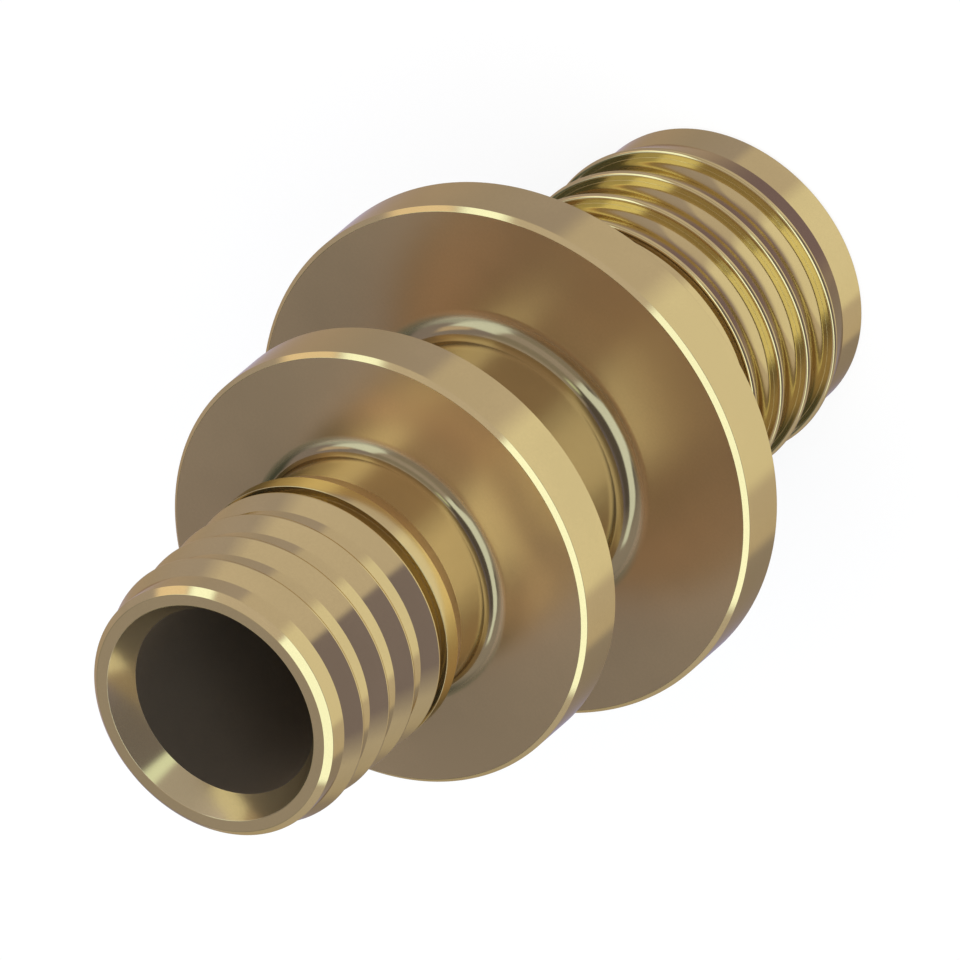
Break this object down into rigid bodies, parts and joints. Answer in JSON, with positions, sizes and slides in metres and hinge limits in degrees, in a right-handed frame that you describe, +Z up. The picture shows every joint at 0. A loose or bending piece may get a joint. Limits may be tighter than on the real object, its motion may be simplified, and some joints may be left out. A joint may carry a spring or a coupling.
{
  "type": "pex reducing coupling",
  "caption": "Turned brass reducing coupling with a barbed spigot at each end, two shoulder flanges and a stepped through bore.",
  "frame": {"origin": "centre of the end face of the large spigot, on which the part stands", "axes": "+Z up along the bore axis, from the large spigot to the small spigot"},
  "size_m": [0.0328, 0.0328, 0.0598],
  "materials": {
    "brass": "turned, satin to bright"
  },
  "bodies": {
    "root": {"coupling_body": "brass"}
  },
  "joints": []
}
